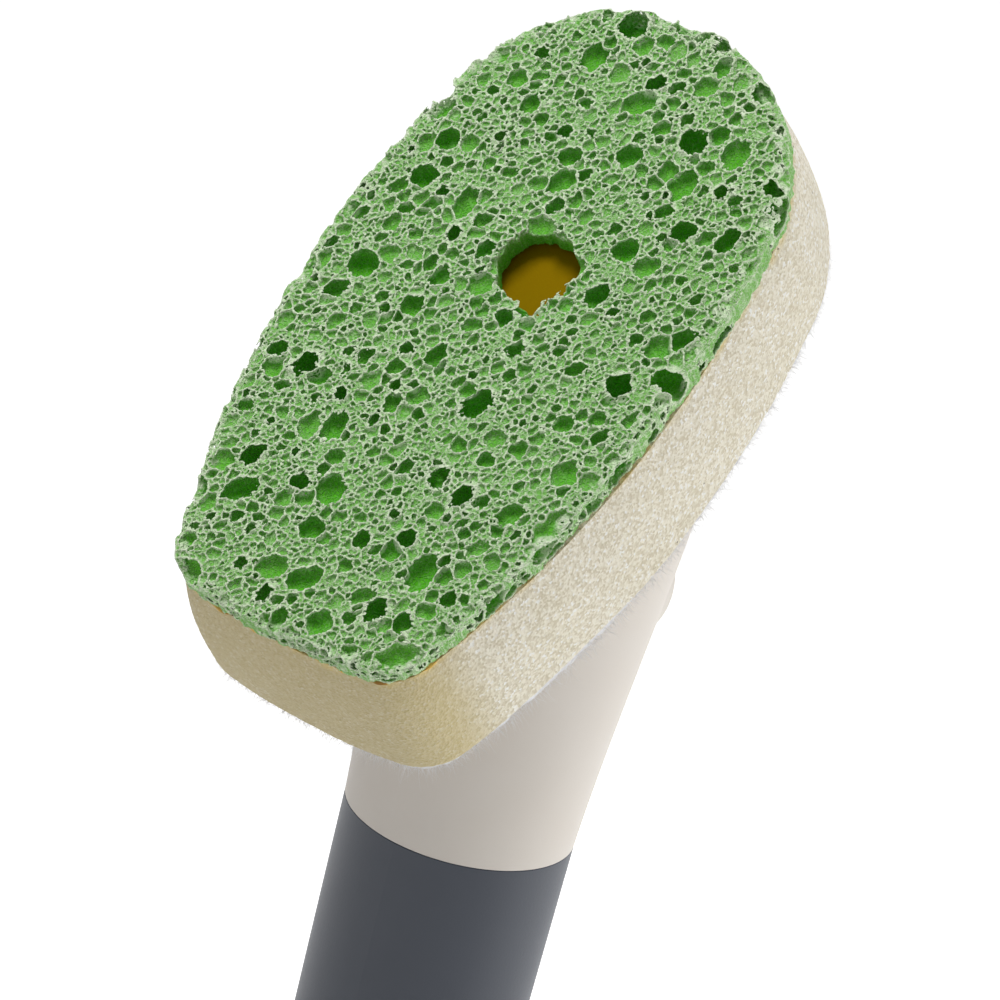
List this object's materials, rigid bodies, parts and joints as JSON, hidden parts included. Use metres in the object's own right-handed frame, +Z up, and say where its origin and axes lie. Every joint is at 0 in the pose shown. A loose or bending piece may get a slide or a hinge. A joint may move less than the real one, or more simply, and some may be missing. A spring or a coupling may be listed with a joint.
{
  "type": "dish wand",
  "caption": "Soap-dispensing dish wand: a bottle handle with a push-button pump in its neck, a screw end cap and a sponge refill with a soap outlet on an angled head.",
  "frame": {"origin": "middle of the flat base of the end cap, where the wand stands upright", "axes": "+Z up the handle's axis towards the head, +X to the side that the sponge faces, +Y across the head"},
  "size_m": [0.0972, 0.061, 0.2645],
  "materials": {
    "white_plastic": "satin moulded",
    "grey_plastic": "satin moulded",
    "natural_plastic": "natural, slightly translucent",
    "hook_plastic": "moulded hooks",
    "grip_rubber": "soft satin",
    "button_rubber": "soft satin",
    "black_rubber": "matt",
    "clear_rubber": "milky, smooth",
    "amber_rubber": "smooth",
    "amber_glue": "cured glue",
    "steel": "bright",
    "loop_fabric": "brushed loops",
    "cream_foam": "fine open-cell foam",
    "green_sponge": "coarse open-cell cellulose"
  },
  "bodies": {
    "handle": {"soap_bottle": "white_plastic", "grip_sleeve": "grip_rubber", "neck_housing": "white_plastic", "inlet_valve_body": "natural_plastic", "pump_barrel": "natural_plastic", "pump_spring": "steel", "button_ring": "white_plastic", "soap_tube": "clear_rubber", "spout": "white_plastic", "outlet_valve": "amber_rubber", "head_plate": "white_plastic", "hook_pad": "hook_plastic"},
    "button": {"pump_button": "button_rubber", "pump_piston": "natural_plastic", "piston_seal": "black_rubber"},
    "check_ball": {"inlet_ball": "steel"},
    "seal_ring": {"cap_seal": "black_rubber"},
    "screw_cap": {"end_cap": "grey_plastic", "vent_valve": "clear_rubber"},
    "refill": {"loop_backing": "loop_fabric", "foam_block": "cream_foam", "glue_film": "amber_glue", "scrub_sponge": "green_sponge"}
  },
  "joints": [
    {"name": "button_press", "type": "slide", "parent": "handle", "child": "button", "axis": [1, 0, 0], "range_m": [0, 0.0035], "stiffness_N_per_m": 400, "springref_m": -0.004, "deforming": ["pump_spring"]},
    {"name": "ball_lift", "type": "slide", "parent": "handle", "child": "check_ball", "axis": [0, 0, 1], "range_m": [0, 0.0015]},
    {"name": "cap_lift", "type": "slide", "parent": "handle", "child": "seal_ring", "axis": [0, 0, -1], "range_m": [0, 0.0121]},
    {"name": "cap_turn", "type": "hinge", "parent": "seal_ring", "child": "screw_cap", "pos_m": [0, 0, 0], "axis": [0, 0, -1], "range_deg": [0, 1080]},
    {"name": "refill_pull", "type": "slide", "parent": "handle", "child": "refill", "axis": [0.7071, 0, 0.7071], "range_m": [0, 0.035]}
  ],
  "couplings": [
    {"joint": "cap_lift", "follows": "cap_turn", "m_per_rad": 0.00063662}
  ]
}
